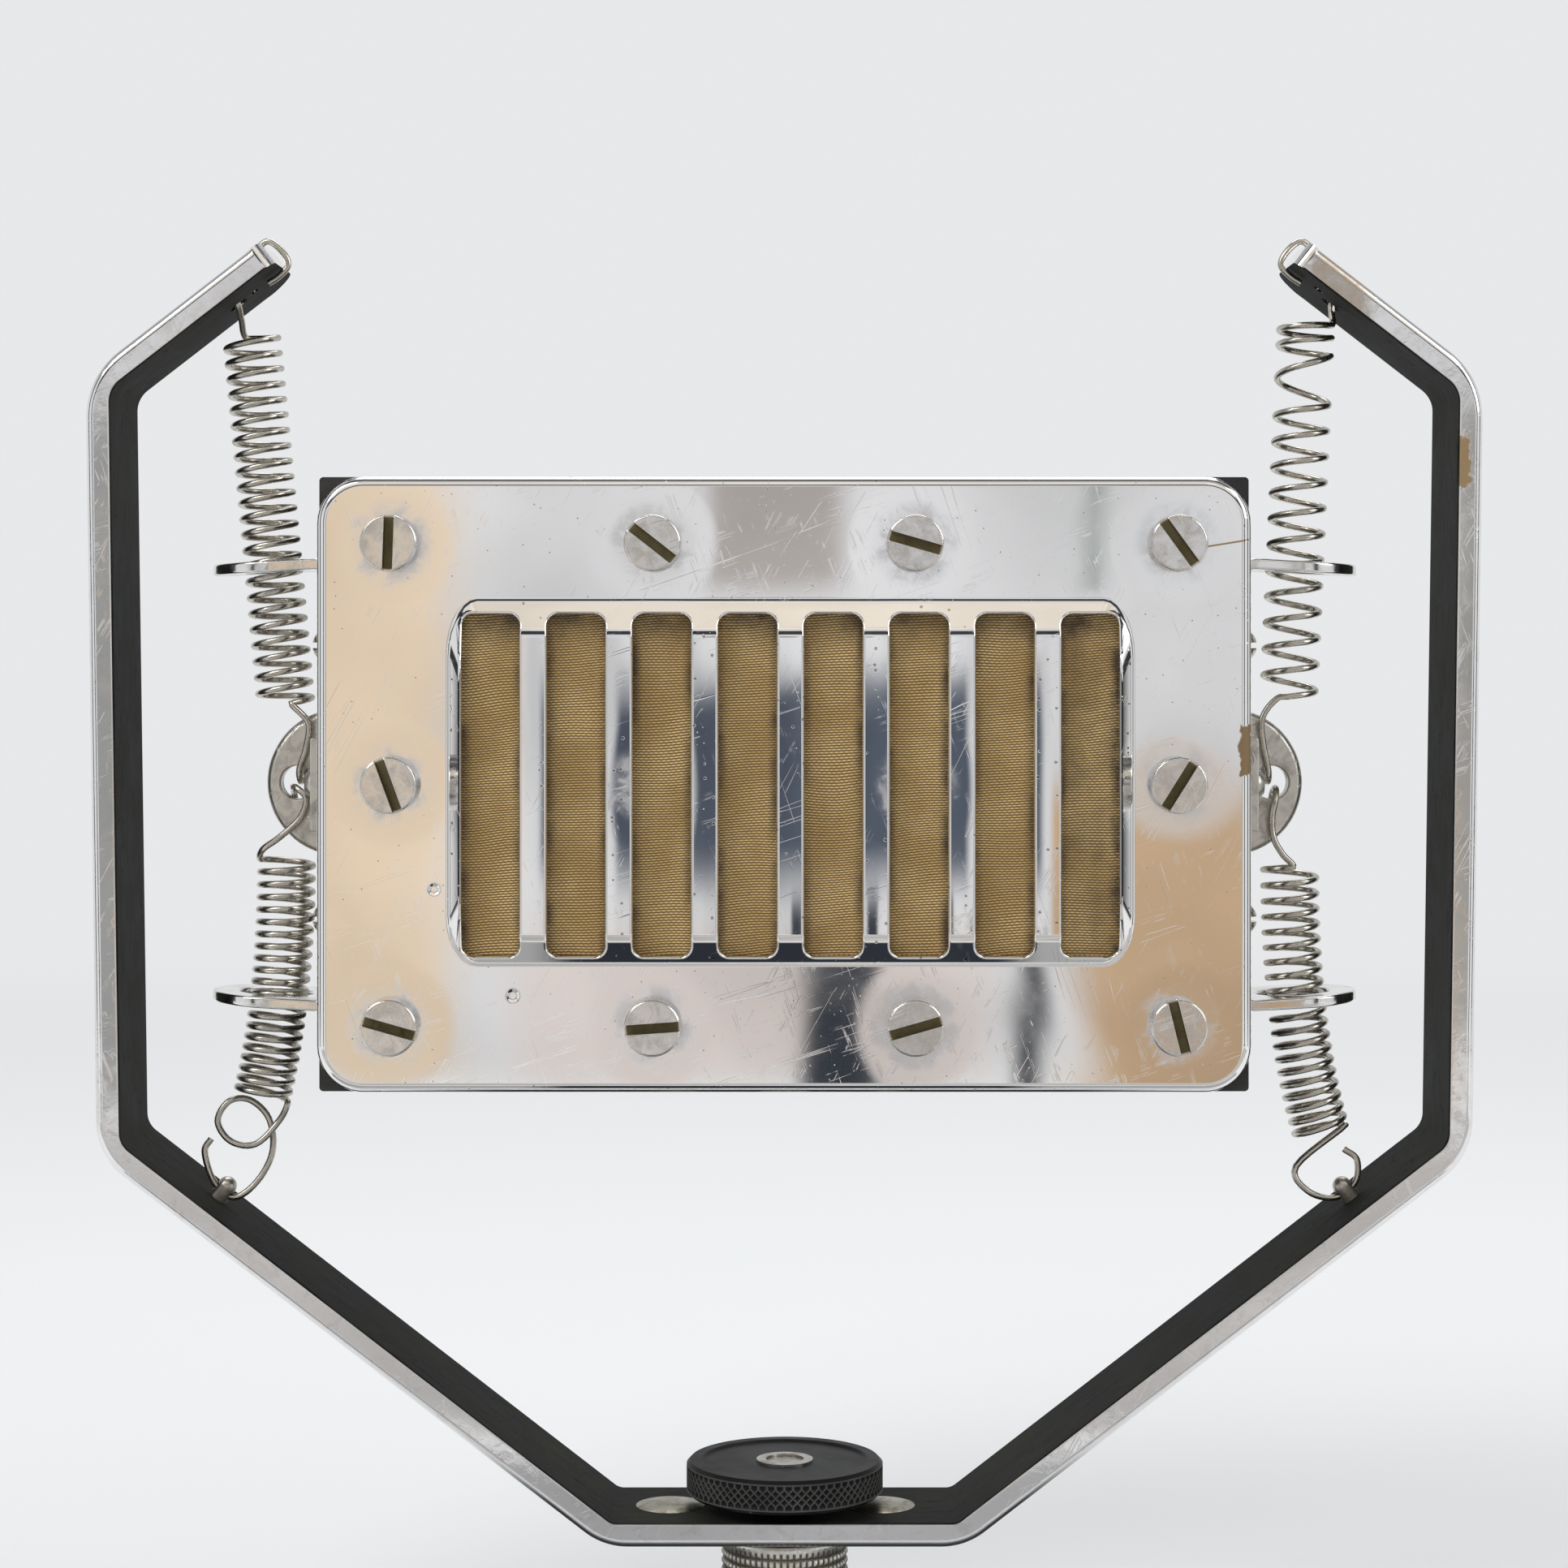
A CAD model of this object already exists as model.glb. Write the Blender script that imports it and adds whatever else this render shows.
import math

import bmesh
import bpy
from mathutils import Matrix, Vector


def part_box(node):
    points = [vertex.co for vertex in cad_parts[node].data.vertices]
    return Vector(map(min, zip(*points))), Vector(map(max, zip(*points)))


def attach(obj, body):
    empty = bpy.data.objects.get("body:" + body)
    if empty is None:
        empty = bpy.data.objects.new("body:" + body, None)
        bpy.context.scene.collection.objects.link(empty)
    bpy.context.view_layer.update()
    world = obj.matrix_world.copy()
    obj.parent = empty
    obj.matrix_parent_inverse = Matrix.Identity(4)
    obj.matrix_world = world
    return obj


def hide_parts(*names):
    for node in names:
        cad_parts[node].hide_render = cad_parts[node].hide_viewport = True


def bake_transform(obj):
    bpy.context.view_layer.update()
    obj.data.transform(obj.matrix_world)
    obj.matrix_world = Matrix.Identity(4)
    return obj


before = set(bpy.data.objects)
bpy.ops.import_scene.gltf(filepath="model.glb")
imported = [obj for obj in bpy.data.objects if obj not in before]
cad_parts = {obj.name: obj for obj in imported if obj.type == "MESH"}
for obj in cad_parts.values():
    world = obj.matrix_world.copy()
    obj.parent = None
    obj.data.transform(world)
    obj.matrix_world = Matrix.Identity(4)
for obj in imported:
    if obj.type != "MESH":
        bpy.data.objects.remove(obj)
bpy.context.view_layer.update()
print("cad model loaded")

# places that several pieces share, in metres
headMiddle = 0.11545  # height of the head's middle above the adapter's mouth
plateFront = -0.022  # the front plate's flat face
slotPitch = 0.01055  # from one slot of the grille to the next
slotShift = 0.0008  # the grille sits this far right of the head's middle
through = 0.03  # length of the cutters that pass right through a turned piece

# working in edit mode


def onlySelect(piece):
    if bpy.context.object and bpy.context.object.mode != "OBJECT":
        bpy.ops.object.mode_set(mode="OBJECT")
    bpy.ops.object.select_all(action="DESELECT")
    piece.select_set(True)
    bpy.context.view_layer.objects.active = piece


def startEdit(piece):
    onlySelect(piece)
    bpy.ops.object.mode_set(mode="EDIT")
    bpy.ops.mesh.select_all(action="DESELECT")


def endEdit():
    bpy.ops.object.mode_set(mode="OBJECT")


def pick(piece, kind, test):
    # selects the vertices, edges or faces that pass the test, and nothing else
    bpy.ops.mesh.select_mode(type=kind)
    bpy.ops.mesh.select_all(action="DESELECT")
    cage = bmesh.from_edit_mesh(piece.data)
    parts = {"VERT": cage.verts, "EDGE": cage.edges, "FACE": cage.faces}[kind]
    for part in [p for p in parts if test(p)]:
        part.select_set(True)
    cage.select_flush_mode()
    bmesh.update_edit_mesh(piece.data)


def near(value, target, reach=1e-5):
    return abs(value - target) < reach


def runsBack(edge):
    return not near(edge.verts[0].co.y, edge.verts[1].co.y, 1e-4)


def liesAt(depth, reach=1e-5):
    return lambda edge: all(near(v.co.y, depth, reach) for v in edge.verts)


def bevelPicked(offset, segments):
    bpy.ops.mesh.bevel(offset=offset, offset_type="OFFSET", segments=segments, affect="EDGES")


def scalePicked(across, deep, up, centre):
    bpy.ops.transform.resize(value=(across, deep, up), center_override=centre)


def mergeDoubles():
    bpy.ops.mesh.select_all(action="SELECT")
    bpy.ops.mesh.remove_doubles(threshold=1e-6)


# whole pieces


def settle(piece):
    onlySelect(piece)
    bpy.ops.object.transform_apply(location=True, rotation=True, scale=True)


def modify(piece, kind, **settings):
    onlySelect(piece)
    modifier = piece.modifiers.new(kind.lower(), kind)
    for name, value in settings.items():
        setattr(modifier, name, value)
    bpy.ops.object.modifier_apply(modifier=modifier.name)


def cutAway(piece, cutter, operation="DIFFERENCE"):
    modify(piece, "BOOLEAN", object=cutter, operation=operation, solver="EXACT")
    bpy.data.objects.remove(cutter, do_unlink=True)


def joinInto(piece, others):
    onlySelect(piece)
    for other in others:
        other.select_set(True)
    bpy.ops.object.join()


def addObject(name, data):
    piece = bpy.data.objects.new(name, data)
    bpy.context.scene.collection.objects.link(piece)
    return piece


def started(name):
    # names the object that was just added
    piece = bpy.context.object
    piece.name = name
    return piece


def block(name, size, place):
    bpy.ops.object.select_all(action="DESELECT")
    bpy.ops.mesh.primitive_cube_add(size=1, location=place, scale=size)
    piece = started(name)
    settle(piece)
    return piece


def turned(name, radius, depth, place, axis="Z", vertices=64):
    turn = {"Z": (0, 0, 0), "Y": (math.pi / 2, 0, 0), "X": (0, math.pi / 2, 0)}[axis]
    bpy.ops.object.select_all(action="DESELECT")
    bpy.ops.mesh.primitive_cylinder_add(
        vertices=vertices, radius=radius, depth=depth, location=place, rotation=turn
    )
    piece = started(name)
    settle(piece)
    return piece


def smooth(piece, angle=32, flatFirst=True):
    onlySelect(piece)
    bpy.ops.object.shade_smooth_by_angle(angle=math.radians(angle))
    if flatFirst:  # large faces keep their own normals, so mirrors stay flat
        modify(piece, "WEIGHTED_NORMAL", keep_sharp=True, weight=100)


def bevelSharp(piece, width, segments, angle):
    # rounds every edge that is sharper than the angle
    modify(
        piece,
        "BEVEL",
        width=width,
        segments=segments,
        limit_method="ANGLE",
        angle_limit=math.radians(angle),
        use_clamp_overlap=False,
    )


def dress(piece, look, body, nodes):
    piece.data.materials.clear()
    piece.data.materials.append(look)
    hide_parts(*nodes)
    if body:
        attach(piece, body)


def mergedCopy(node, name):
    # the CAD node's loose triangles become one skin of flat faces
    flatWithin = math.radians(0.6)
    piece = addObject(name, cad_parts[node].data.copy())
    startEdit(piece)
    mergeDoubles()
    bpy.ops.mesh.dissolve_limited(angle_limit=flatWithin)
    endEdit()
    bpy.ops.mesh.customdata_custom_splitnormals_clear()
    return piece


def roundedCopy(node, name, width, segments, angle=30):
    piece = mergedCopy(node, name)
    bevelSharp(piece, width, segments, angle)
    smooth(piece)
    return piece


# nodes


def wire(tree, value, socket):
    if isinstance(value, bpy.types.NodeSocket):
        tree.links.new(value, socket)
    else:
        socket.default_value = value


def put(tree, kind, inputs=None, **settings):
    made = tree.nodes.new("ShaderNode" + kind)
    for name, value in settings.items():
        setattr(made, name, value)
    for name, value in (inputs or {}).items():
        wire(tree, value, made.inputs[name])
    return made


def calc(tree, operation, *values):
    made = put(tree, "Math", dict(enumerate(values)), operation=operation)
    return made.outputs[0]


def chain(tree, operation, values):
    total = values[0]
    for value in values[1:]:
        total = calc(tree, operation, total, value)
    return total


def plus(tree, *values):
    return chain(tree, "ADD", values)


def minus(tree, *values):
    return chain(tree, "SUBTRACT", values)


def times(tree, *values):
    return chain(tree, "MULTIPLY", values)


def most(tree, *values):
    return chain(tree, "MAXIMUM", values)


def vectorCalc(tree, operation, *values, output="Vector"):
    made = put(tree, "VectorMath", dict(enumerate(values)), operation=operation)
    return made.outputs[output]


def split(tree, vector):
    return put(tree, "SeparateXYZ", {"Vector": vector}).outputs


def step(tree, value, low, high, bottom=0.0, top=1.0):
    inputs = dict(enumerate((value, low, high, bottom, top)))
    return put(tree, "MapRange", inputs, interpolation_type="SMOOTHSTEP").outputs[0]


def tint(tree, factor, first, second):
    return put(tree, "Mix", {0: factor, 6: first, 7: second}, data_type="RGBA").outputs[2]


def noise(tree, vector, scale, detail=3.0, rough=0.5, distortion=0.0):
    inputs = {"Vector": vector, "Scale": scale, "Detail": detail, "Roughness": rough}
    return put(tree, "TexNoise", {**inputs, "Distortion": distortion}).outputs["Fac"]


def ragged(tree, vector, scale, reach, detail=3.0):
    # pushes a mark's edge about by up to half the reach either way
    return times(tree, minus(tree, noise(tree, vector, scale, detail), 0.5), reach)


def bump(tree, height, strength, distance, normal=None):
    made = put(tree, "Bump", {"Height": height, "Strength": strength, "Distance": distance})
    if normal is not None:
        tree.links.new(normal, made.inputs["Normal"])
    return made.outputs["Normal"]


def rgb(red, green, blue):
    return (red, green, blue, 1.0)


def share(tree, mask, part):
    return mask if part == 1 else times(tree, mask, part)


def addMarks(tree, value, *marks):
    # each mark is a mask and how much of it is added
    for mask, part in marks:
        value = plus(tree, value, share(tree, mask, part))
    return value


def coat(tree, colour, *coats):
    # each coat is a mask, how much of it shows and its colour, laid over the ones before
    for mask, part, over in coats:
        colour = tint(tree, share(tree, mask, part), colour, over)
    return colour


# node groups that several looks share


def newGroup(name, output, **values):
    group = bpy.data.node_groups.new(name, "ShaderNodeTree")
    face = group.interface
    face.new_socket(name="Vector", in_out="INPUT", socket_type="NodeSocketVector")
    for title, value in values.items():
        socket = face.new_socket(name=title, in_out="INPUT", socket_type="NodeSocketFloat")
        socket.default_value = value
    face.new_socket(name=output, in_out="OUTPUT", socket_type="NodeSocketFloat")
    start, end = [group.nodes.new("NodeGroup" + kind) for kind in ("Input", "Output")]
    return group, start.outputs, end.inputs


def useGroup(tree, group, vector, **values):
    made = put(tree, "Group", node_tree=group)
    for name, value in {"Vector": vector, **values}.items():
        wire(tree, value, made.inputs[name])
    return made.outputs[0]


def hairScratches():
    # long fine lines in three directions, broken up by a slow noise
    group, start, end = newGroup("hair scratches", "Mask", Scale=60.0, Width=0.012)
    total = 0.0
    for turn, shift in ((0.35, 0.0), (1.9, 3.1), (2.65, 7.7)):
        spot = {"Vector": start["Vector"], "Rotation": (0.0, turn, 0.0), "Location": (shift, shift, 0.0)}
        place = put(group, "Mapping", spot).outputs[0]
        drawn = put(group, "Mapping", {"Vector": place, "Scale": (1.0, 0.35, 0.035)}).outputs[0]
        field = noise(group, drawn, start["Scale"], 4.0, 0.6, 0.25)
        off = calc(group, "ABSOLUTE", minus(group, field, 0.5))
        line = step(group, off, 0.0, start["Width"], 1.0, 0.0)
        slow = noise(group, place, times(group, start["Scale"], 0.9), 2.0)
        total = most(group, total, times(group, line, step(group, slow, 0.52, 0.66)))
    wire(group, total, end["Mask"])
    return group


def pinPits():
    # scattered small round marks
    group, start, end = newGroup("pin pits", "Mask", Scale=300.0, Size=0.12, Share=0.3)
    cells = put(group, "TexVoronoi", {"Vector": start["Vector"], "Scale": start["Scale"]}).outputs
    chance = put(group, "SeparateColor", {"Color": cells["Color"]}).outputs
    size = times(group, start["Size"], plus(group, 0.4, chance[1]))
    inside = step(group, cells["Distance"], times(group, size, 0.6), size, 1.0, 0.0)
    chosen = calc(group, "LESS_THAN", chance[0], start["Share"])
    wire(group, times(group, inside, chosen), end["Mask"])
    return group


def cloudMarks():
    # soft uneven blotches from 0 to 1
    group, start, end = newGroup("cloud marks", "Mask", Scale=40.0, Low=0.4, High=0.65)
    field = noise(group, start["Vector"], start["Scale"], 6.0, 0.62, 0.4)
    wire(group, step(group, field, start["Low"], start["High"]), end["Mask"])
    return group


def screwNearness():
    # distance in the plate's plane to the nearest screw, in metres
    outer, halfColumn, halfRow = 0.0485, 0.016165, 0.014875
    group, start, end = newGroup("screw nearness", "Distance")
    x, _, z = split(group, start["Vector"])
    column = calc(group, "PINGPONG", plus(group, x, outer - halfColumn), halfColumn)
    row = calc(group, "PINGPONG", minus(group, z, headMiddle), halfRow)
    flat = put(group, "CombineXYZ", {0: minus(group, halfColumn, column), 1: row, 2: 0.0})
    wire(group, vectorCalc(group, "LENGTH", flat.outputs[0], output="Value"), end["Distance"])
    return group


scratchGroup = hairScratches()
pitGroup = pinPits()
cloudGroup = cloudMarks()
screwGroup = screwNearness()


def scratches(tree, vector, scale, width):
    return useGroup(tree, scratchGroup, vector, Scale=scale, Width=width)


def pits(tree, vector, scale, size, part):
    return useGroup(tree, pitGroup, vector, Scale=scale, Size=size, Share=part)


def clouds(tree, vector, scale, low, high):
    return useGroup(tree, cloudGroup, vector, Scale=scale, Low=low, High=high)


# looks


def emptyLook(name):
    look = bpy.data.materials.new(name)
    look.use_nodes = True
    look.node_tree.nodes.clear()
    return look, look.node_tree


def newLook(name, metallic=0.0, roughness=0.5, specular=0.5):
    look, tree = emptyLook(name)
    inputs = {"Metallic": metallic, "Roughness": roughness, "Specular IOR Level": specular}
    shader = put(tree, "BsdfPrincipled", inputs)
    put(tree, "OutputMaterial", {"Surface": shader.outputs["BSDF"]})
    return look, tree, shader.inputs, put(tree, "TexCoord").outputs["Object"]


def colourNow(shader):
    return shader["Base Color"].links[0].from_socket


def roughNow(shader):
    return shader["Roughness"].links[0].from_socket


def connect(tree, shader, colour, rough=None, normal=None, metal=None):
    values = {"Base Color": colour, "Roughness": rough, "Normal": normal, "Metallic": metal}
    for title, value in values.items():
        if value is not None:
            tree.links.new(value, shader[title])


def boxMask(tree, across, up, box):
    # 1 inside a box in the plate's plane, with soft edges
    inside = 1.0
    for axis, centre, reach in zip((across, up), box["middle"], box["half"]):
        off = calc(tree, "ABSOLUTE", minus(tree, axis, centre))
        inside = times(tree, inside, step(tree, off, reach, reach + box["soft"], 1.0, 0.0))
    return inside


def plateLook():
    slant = 0.16
    settings = {
        "colour": rgb(0.87, 0.86, 0.84),
        "haze": rgb(0.72, 0.73, 0.74),
        "pits": rgb(0.25, 0.22, 0.18),
        "fineMarks": rgb(0.98, 0.98, 0.97),
        "scored": rgb(0.34, 0.24, 0.13),
        "chipped": rgb(0.2, 0.13, 0.06),
        "roughness": 0.035,
        "waves": 0.14,
        "dents": [(-0.0431, -0.0129, 0.0009), (-0.0334, -0.026, 0.0010)],  # x, height, reach
        "chip": {"middle": (0.0570, headMiddle + 0.0042), "half": (0.0007, 0.0030), "soft": 0.0003},
        "score": {
            "middle": (0.0543, headMiddle + 0.0297 - slant * 0.0543),
            "half": (0.0030, 0.00004),
            "soft": 0.00012,
        },
    }
    look, tree, shader, place = newLook("plate chrome", metallic=1.0)
    x, _, z = split(tree, place)
    nearScrew = useGroup(tree, screwGroup, place)
    blotch = addMarks(tree, 0.25, (clouds(tree, place, 260.0, 0.42, 0.66), 0.75))
    ring = times(tree, step(tree, nearScrew, 0.0036, 0.0062, 1.0, 0.0), blotch)
    smear = clouds(tree, place, 38.0, 0.45, 0.7)
    scratch = scratches(tree, place, 420.0, 0.012)
    deepScratch = scratches(tree, place, 90.0, 0.0022)
    pit = pits(tree, place, 900.0, 0.16, 0.3)
    speck = times(tree, pits(tree, place, 1300.0, 0.17, 0.3), clouds(tree, place, 60.0, 0.42, 0.6))
    # plating gone at the right edge, and a scratch beside the upper right screw
    wobble = ragged(tree, place, 900.0, 0.0018)
    chip = boxMask(tree, plus(tree, x, wobble), plus(tree, z, wobble), settings["chip"])
    score = boxMask(tree, x, plus(tree, z, times(tree, x, -slant)), settings["score"])
    colour = coat(
        tree,
        settings["colour"],
        (ring, 0.7, settings["haze"]),
        (pit, 0.75, settings["pits"]),
        (most(tree, times(tree, scratch, 0.18), speck), 0.55, settings["fineMarks"]),
        (score, 1, settings["scored"]),
        (chip, 1, settings["chipped"]),
    )
    rough = addMarks(
        tree, settings["roughness"], (ring, 0.22), (smear, 0.035), (scratch, 0.12), (speck, 0.4), (chip, 0.5)
    )
    # slow waves of hand polishing, a dip round each screw, dents and scratches
    normal = bump(tree, noise(tree, place, 26.0, 1.5, 0.4, 0.6), settings["waves"], 0.0009)
    normal = bump(tree, step(tree, nearScrew, 0.003, 0.0085), 0.07, 0.0004, normal)
    for side, height, reach in settings["dents"]:
        spot = (side, plateFront, headMiddle + height)
        off = vectorCalc(tree, "DISTANCE", place, spot, output="Value")
        normal = bump(tree, step(tree, off, reach * 0.35, reach), 0.8, 0.0003, normal)
    marks = most(tree, times(tree, scratch, 0.14), times(tree, deepScratch, 0.4), pit, score)
    normal = bump(tree, minus(tree, 1.0, marks), 0.2, 0.00003, normal)
    connect(tree, shader, colour, rough, normal, minus(tree, 1.0, times(tree, chip, 0.8)))
    return look


def stripLook():
    settings = {
        "colour": rgb(0.84, 0.83, 0.82),
        "streaks": rgb(0.6, 0.57, 0.55),
        "grime": rgb(0.35, 0.3, 0.24),
        "patina": rgb(0.007, 0.008, 0.007),
        "patinaLight": rgb(0.03, 0.03, 0.024),
        "bareMetal": rgb(0.42, 0.3, 0.17),
        "roughness": 0.07,
        "wornSide": {"middle": (0.0858, headMiddle + 0.0405), "half": (0.0011, 0.0027), "soft": 0.0004},
        "wornTip": {"middle": (0.0705, headMiddle + 0.0625), "half": (0.0030, 0.0036), "soft": 0.0016},
    }
    look, tree, shader, place = newLook("strip chrome", metallic=1.0, specular=0.08)
    x, y, z = split(tree, place)
    # the faces turned to the head were never polished
    flatPlace = vectorCalc(tree, "MULTIPLY", place, (1.0, 0.0, 1.0))
    toHead = vectorCalc(tree, "SUBTRACT", (0.0, 0.0, headMiddle), flatPlace)
    toHead = vectorCalc(tree, "NORMALIZE", toHead)
    outward = put(tree, "NewGeometry").outputs["Normal"]
    inner = step(tree, vectorCalc(tree, "DOT_PRODUCT", toHead, outward, output="Value"), 0.3, 0.55)
    cloud = clouds(tree, place, 120.0, 0.35, 0.7)
    grime = clouds(tree, place, 420.0, 0.5, 0.72)
    scratch = scratches(tree, place, 300.0, 0.008)
    drawn = put(tree, "Mapping", {"Vector": place, "Scale": (1.0, 5.0, 1.0)}).outputs[0]
    streak = clouds(tree, drawn, 190.0, 0.45, 0.75)
    dull = tint(tree, cloud, settings["patina"], settings["patinaLight"])
    # two places on the front edge where the plating is worn through
    wobble = ragged(tree, place, 700.0, 0.003)
    across, up = plus(tree, x, wobble), plus(tree, z, wobble)
    wornSide = boxMask(tree, across, up, settings["wornSide"])
    wornTip = boxMask(tree, across, up, settings["wornTip"])
    wornTip = times(tree, wornTip, addMarks(tree, 0.3, (cloud, 0.6)))
    front = step(tree, y, -0.0086, -0.0091)
    worn = most(tree, times(tree, wornSide, front), times(tree, wornTip, front))
    colour = coat(
        tree,
        settings["colour"],
        (streak, 0.2, settings["streaks"]),
        (grime, 0.18, settings["grime"]),
        (worn, 1, settings["bareMetal"]),
        (inner, 1, dull),
    )
    innerRough = addMarks(tree, 0.55, (cloud, 0.15))
    rough = addMarks(tree, settings["roughness"], (streak, 0.08), (scratch, 0.15))
    rough = addMarks(tree, rough, (worn, 0.4), (inner, innerRough))
    normal = bump(tree, noise(tree, place, 60.0, 2.0), 0.12, 0.0005)
    normal = bump(tree, minus(tree, cloud, plus(tree, scratch, grime)), 0.15, 0.00004, normal)
    connect(tree, shader, colour, rough, normal, minus(tree, 1.0, times(tree, inner, 0.9)))
    return look


def metalLook(name, colour, dark, roughness, scale, wear, grain):
    # plain plated or bare metal with grime in clouds, fine scratches and a little grain
    look, tree, shader, place = newLook(name, metallic=1.0)
    cloud = clouds(tree, place, scale, 0.4, 0.7)
    scratch = scratches(tree, place, scale * 0.6, 0.014)
    pale = rgb(*[min(1, c * 1.25) for c in colour])
    shade = coat(tree, rgb(*colour), (cloud, wear, rgb(*dark)), (scratch, 0.3, pale))
    rough = addMarks(tree, roughness, (cloud, 0.16), (scratch, 0.12))
    grains = times(tree, noise(tree, place, scale * 9, 2.0), 0.4)
    height = minus(tree, grains, plus(tree, scratch, times(tree, cloud, 0.5)))
    connect(tree, shader, shade, rough, bump(tree, height, grain, 0.00004))
    return look, tree, shader, place


def fromAxis(tree, place):
    flat = vectorCalc(tree, "MULTIPLY", place, (1.0, 1.0, 0.0))
    return vectorCalc(tree, "LENGTH", flat, output="Value")


def sleeveLook():
    look, tree, shader, place = metalLook(
        "sleeve nickel", (0.78, 0.76, 0.70), (0.45, 0.42, 0.34), 0.25, 500.0, 0.4, 0.2
    )
    # dirt between the beads
    groove = step(tree, fromAxis(tree, place), 0.0079, 0.00808, 1.0, 0.0)
    colour = coat(tree, colourNow(shader), (groove, 0.9, rgb(0.12, 0.105, 0.07)))
    connect(tree, shader, colour, addMarks(tree, roughNow(shader), (groove, 0.3)))
    return look


def screwLook():
    look, tree, shader, place = metalLook(
        "screw nickel", (0.74, 0.72, 0.69), (0.45, 0.42, 0.37), 0.16, 420.0, 0.55, 0.3
    )
    y = split(tree, place)[1]
    nearScrew = useGroup(tree, screwGroup, place)
    # dirt in the driver slots, and brass where their edges are rubbed
    onHead = step(tree, nearScrew, 0.0031, 0.0034, 1.0, 0.0)
    inSlot = times(tree, step(tree, y, -0.0244, -0.0238), onHead)
    atTop = times(tree, step(tree, y, -0.02468, -0.02455), onHead)
    rubbed = times(tree, atTop, clouds(tree, place, 900.0, 0.4, 0.5))
    brassy, dirty = rgb(0.72, 0.56, 0.28), rgb(0.17, 0.145, 0.08)
    colour = coat(tree, colourNow(shader), (rubbed, 0.8, brassy), (inSlot, 1, dirty))
    connect(tree, shader, colour, addMarks(tree, roughNow(shader), (inSlot, 0.45)))
    return look


def ripple(tree, turns):
    # a wave between 0 and 1, one for each whole number
    return addMarks(tree, 0.5, (calc(tree, "COSINE", times(tree, turns, 2 * math.pi)), 0.5))


def clothLook():
    settings = {
        "thread": rgb(0.62, 0.415, 0.165),
        "threadPale": rgb(0.86, 0.62, 0.29),
        "between": rgb(0.17, 0.105, 0.04),
        "soot": rgb(0.055, 0.04, 0.03),
        "ribPitch": 0.00033,
        "knotPitch": 0.00062,
        "sootEdge": (0.0022, 0.0037),  # from the middle of a slot
        "sootTop": (0.0155, 0.0215),  # from the head's middle
        "sootLast": (0.0335, 0.036),
    }
    look, tree, shader, place = newLook("gold cloth", roughness=0.75, specular=0.25)
    x, _, z = split(tree, place)
    # ribs that wander a little, and knots that step over by half at each rib
    drift = ragged(tree, place, 45.0, 0.0028, 2.0)
    rows = calc(tree, "DIVIDE", plus(tree, z, drift, times(tree, x, -0.045)), settings["ribPitch"])
    shift = times(tree, calc(tree, "FLOOR", plus(tree, rows, 0.5)), 0.5)
    along = plus(tree, calc(tree, "DIVIDE", x, settings["knotPitch"]), shift)
    weave = times(tree, ripple(tree, rows), addMarks(tree, 0.45, (ripple(tree, along), 0.55)))
    weave = times(tree, weave, addMarks(tree, 0.75, (noise(tree, place, 2600.0, 2.0), 0.5)))
    uneven = step(tree, noise(tree, place, 110.0, 4.0), 0.36, 0.66)
    yarn = tint(tree, uneven, settings["thread"], settings["threadPale"])
    colour = tint(tree, step(tree, weave, 0.05, 0.75), settings["between"], yarn)
    # soot that came in along the slots' edges and tops, most of it in the last slot
    across = plus(tree, minus(tree, x, slotShift), 4 * slotPitch)
    part = calc(tree, "FRACT", calc(tree, "DIVIDE", across, slotPitch))
    inPitch = minus(tree, times(tree, part, slotPitch), slotPitch / 2)
    edge = step(tree, calc(tree, "ABSOLUTE", inPitch), *settings["sootEdge"])
    top = step(tree, z, *[headMiddle + up for up in settings["sootTop"]])
    patchy = step(tree, noise(tree, place, 190.0, 5.0, 0.65), 0.3, 0.75)
    last = step(tree, x, *settings["sootLast"])
    soot = times(tree, most(tree, times(tree, edge, 0.85), times(tree, top, 0.8)), plus(tree, 0.25, patchy))
    soot = addMarks(tree, soot, (times(tree, last, patchy), 0.45))
    soot = calc(tree, "MINIMUM", soot, 0.9)
    colour = tint(tree, soot, colour, settings["soot"])
    connect(tree, shader, colour, normal=bump(tree, weave, 0.9, 0.00012))
    return look


def eboniteLook(name, colour, roughness, dust):
    look, tree, shader, place = newLook(name, specular=0.3)
    cloud = clouds(tree, place, 70.0, 0.4, 0.75)
    scratch = scratches(tree, place, 120.0, 0.012)
    speck = pits(tree, place, 700.0, 0.14, 0.12)
    marks = most(tree, times(tree, scratch, 0.2), speck)
    dusty, marked = rgb(0.075, 0.07, 0.058), rgb(0.2, 0.19, 0.16)
    shade = coat(tree, rgb(*colour), (cloud, dust, dusty), (marks, 0.3, marked))
    rough = addMarks(tree, roughness, (cloud, 0.15), (scratch, 0.06))
    height = minus(tree, noise(tree, place, 900.0, 3.0), times(tree, scratch, 0.3))
    connect(tree, shader, shade, rough, bump(tree, height, 0.12, 0.00005))
    return look, tree, shader, place


def knobLook():
    look, tree, shader, place = eboniteLook("knob ebonite", (0.009, 0.009, 0.010), 0.38, 0.12)
    shader["Specular IOR Level"].default_value = 0.08
    # fingers have rubbed the crests of the knurl pale
    crest = step(tree, fromAxis(tree, place), 0.01257, 0.01268)
    rubbed = times(tree, crest, plus(tree, 0.25, noise(tree, place, 300.0, 3.0)))
    connect(tree, shader, coat(tree, colourNow(shader), (rubbed, 0.7, rgb(0.12, 0.117, 0.108))))
    return look


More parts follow.
